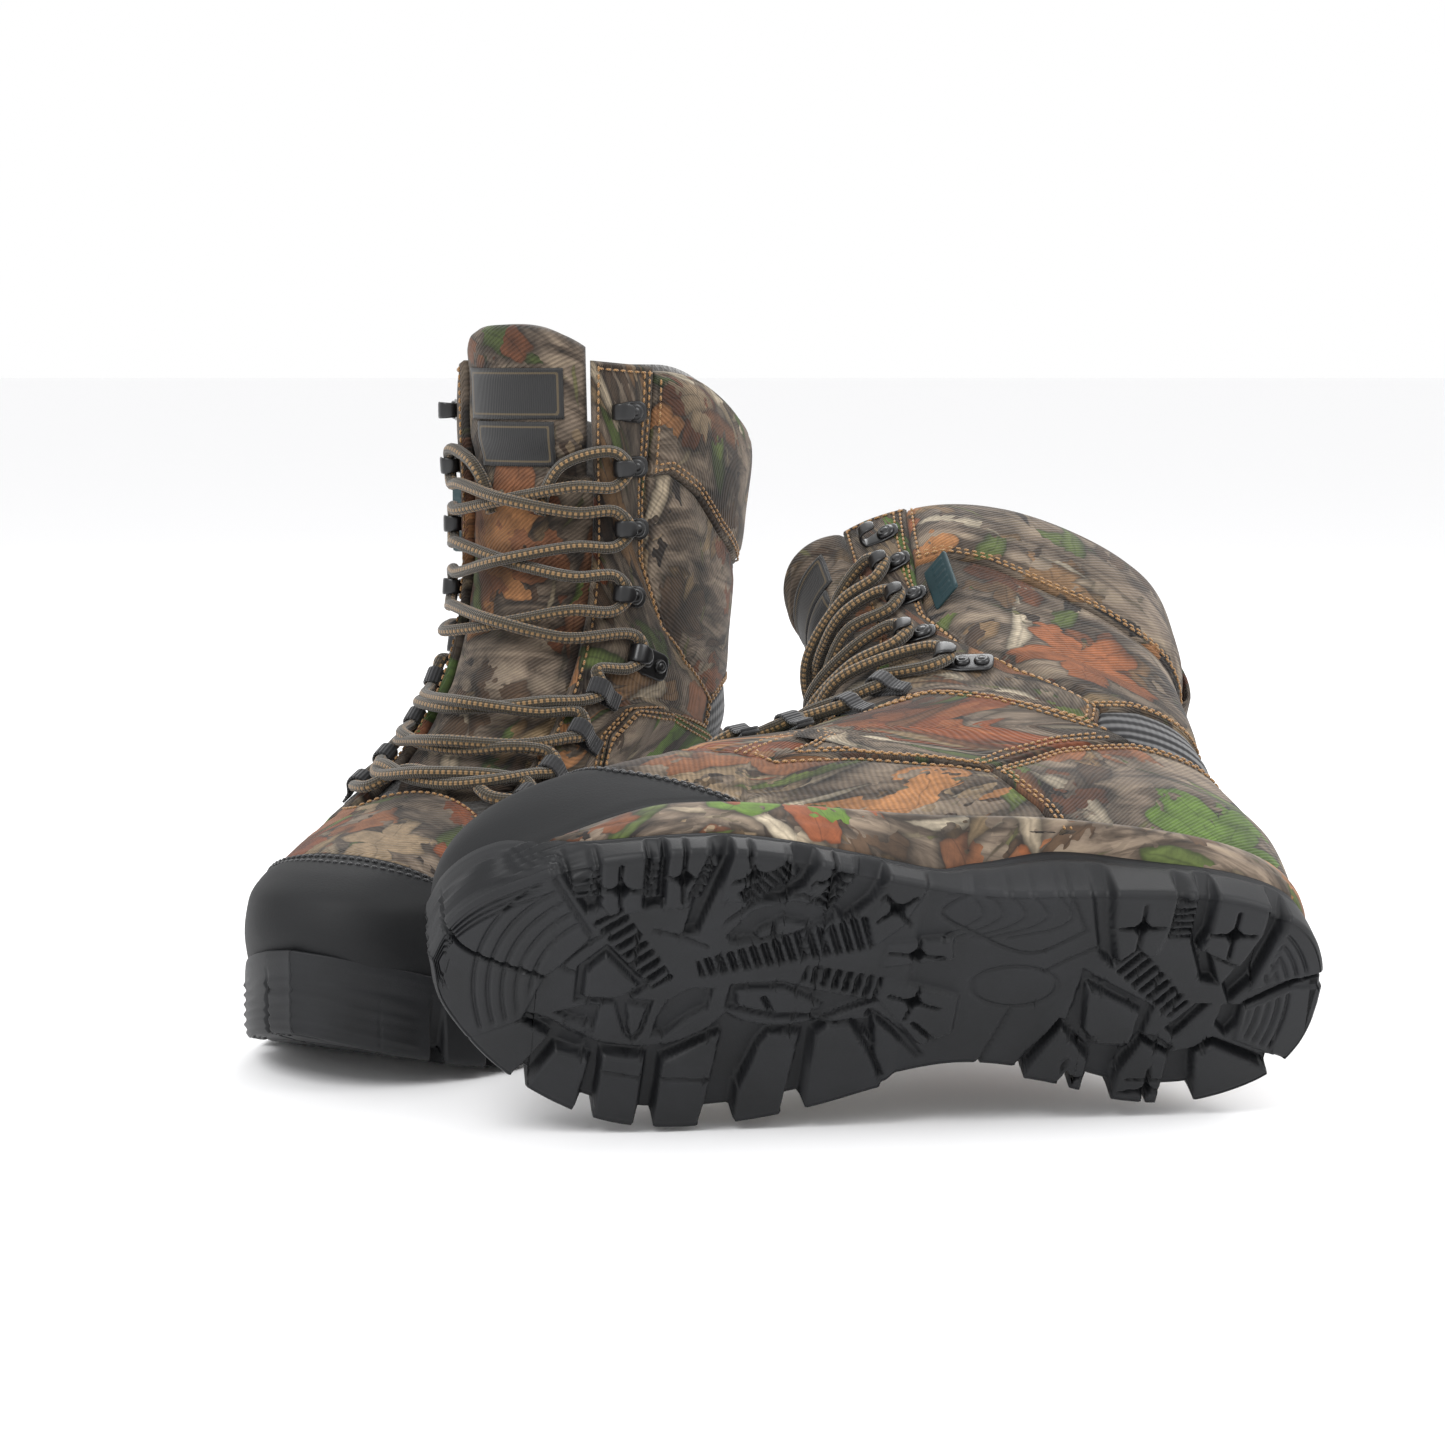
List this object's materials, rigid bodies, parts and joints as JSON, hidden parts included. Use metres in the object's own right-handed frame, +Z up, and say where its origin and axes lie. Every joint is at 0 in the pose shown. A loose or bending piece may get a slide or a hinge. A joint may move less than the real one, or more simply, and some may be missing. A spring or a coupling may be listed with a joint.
{
  "type": "insulated hunting boots",
  "caption": "Pair of lace-up insulated hunting boots with camouflage fabric uppers, rubber toe caps and lugged soles; one stands and one lies on its side.",
  "frame": {"origin": "centre of the pair's bounding box, on the floor", "axes": "+Z up; +X along the lying boot from toe to heel, nearly; -Y the side that shows the lying boot's sole; the standing boot's toe points to -Y and -X"},
  "size_m": [0.3998, 0.4007, 0.2837],
  "materials": {
    "rubber": "moulded, satin",
    "cap_rubber": "matte coated",
    "camo_fabric": "printed ribbed cloth",
    "camo_foam": "printed foam",
    "black_fabric": "webbing",
    "lining": "brushed lining",
    "board": "fibre board",
    "steel": "plain",
    "black_metal": "gloss black",
    "lace_cord": "braided",
    "teal_rubber": "satin"
  },
  "bodies": {
    "right_boot": {"outsole_right": "rubber", "midsole_right": "camo_foam", "shank_right": "steel", "insole_board_right": "board", "footbed_right": "lining", "toe_cap_right": "cap_rubber", "vamp_right": "camo_fabric", "quarter_outer_right": "camo_fabric", "quarter_inner_right": "camo_fabric", "heel_cover_right": "camo_fabric", "facing_outer_right": "camo_fabric", "facing_inner_right": "camo_fabric", "achilles_flex_right": "black_fabric", "shaft_panel_right": "camo_fabric", "collar_right": "camo_fabric", "toe_puff_right": "board", "heel_stiffener_right": "board", "bootie_right": "lining", "tongue_right": "camo_fabric", "hooks_outer_right": "black_metal", "hooks_inner_right": "black_metal", "loops_outer_right": "black_fabric", "loops_inner_right": "black_fabric", "lock_hook_outer_right": "black_metal", "lock_hook_inner_right": "black_metal", "lace_right": "lace_cord"},
    "right_tongue_top": {"tongue_top_right": "camo_fabric", "tongue_label_right": "black_fabric"},
    "right_pull_loop": {"pull_loop_right": "camo_fabric"},
    "right_side_tab": {"side_tab_right": "teal_rubber"},
    "left_boot": {"outsole_left": "rubber", "midsole_left": "camo_foam", "shank_left": "steel", "insole_board_left": "board", "footbed_left": "lining", "toe_cap_left": "cap_rubber", "vamp_left": "camo_fabric", "quarter_outer_left": "camo_fabric", "quarter_inner_left": "camo_fabric", "heel_cover_left": "camo_fabric", "facing_outer_left": "camo_fabric", "facing_inner_left": "camo_fabric", "achilles_flex_left": "black_fabric", "shaft_panel_left": "camo_fabric", "collar_left": "camo_fabric", "toe_puff_left": "board", "heel_stiffener_left": "board", "bootie_left": "lining", "tongue_left": "camo_fabric", "hooks_outer_left": "black_metal", "hooks_inner_left": "black_metal", "loops_outer_left": "black_fabric", "loops_inner_left": "black_fabric", "lock_hook_outer_left": "black_metal", "lock_hook_inner_left": "black_metal", "lace_left": "lace_cord"},
    "left_tongue_top": {"tongue_top_left": "camo_fabric", "tongue_label_left": "black_fabric"},
    "left_pull_loop": {"pull_loop_left": "camo_fabric"},
    "left_side_tab": {"side_tab_left": "teal_rubber"}
  },
  "joints": [
    {"name": "boots_apart", "type": "slide", "parent": "right_boot", "child": "left_boot", "axis": [1, 0, 0], "range_m": [0, 0.25]},
    {"name": "right_tongue_fold", "type": "hinge", "parent": "right_boot", "child": "right_tongue_top", "pos_m": [-0.09765, 0.06672, 0.222], "axis": [0.8788, -0.4772, 0], "range_deg": [0, 25]},
    {"name": "right_pull_loop_hinge", "type": "hinge", "parent": "right_boot", "child": "right_pull_loop", "pos_m": [-0.03319, 0.18543, 0.184], "axis": [-0.8788, 0.4772, 0], "range_deg": [0, 50]},
    {"name": "right_tab_hinge", "type": "hinge", "parent": "right_boot", "child": "right_side_tab", "pos_m": [-0.12312, 0.11522, 0.20197], "axis": [-0.0376, 0.0204, 0.9991], "range_deg": [-22, 35]},
    {"name": "left_tongue_fold", "type": "hinge", "parent": "left_boot", "child": "left_tongue_top", "pos_m": [0.03129, 0.03614, 0.14988], "axis": [0.1218, -0.4291, 0.895], "range_deg": [0, 25]},
    {"name": "left_pull_loop_hinge", "type": "hinge", "parent": "left_boot", "child": "left_pull_loop", "pos_m": [0.1689, 0.02391, 0.12529], "axis": [-0.1218, 0.4291, -0.895], "range_deg": [0, 50]},
    {"name": "left_tab_hinge", "type": "hinge", "parent": "left_boot", "child": "left_side_tab", "pos_m": [0.06922, 0.00365, 0.18001], "axis": [0.1128, -0.8699, -0.4802], "range_deg": [-22, 35]}
  ]
}
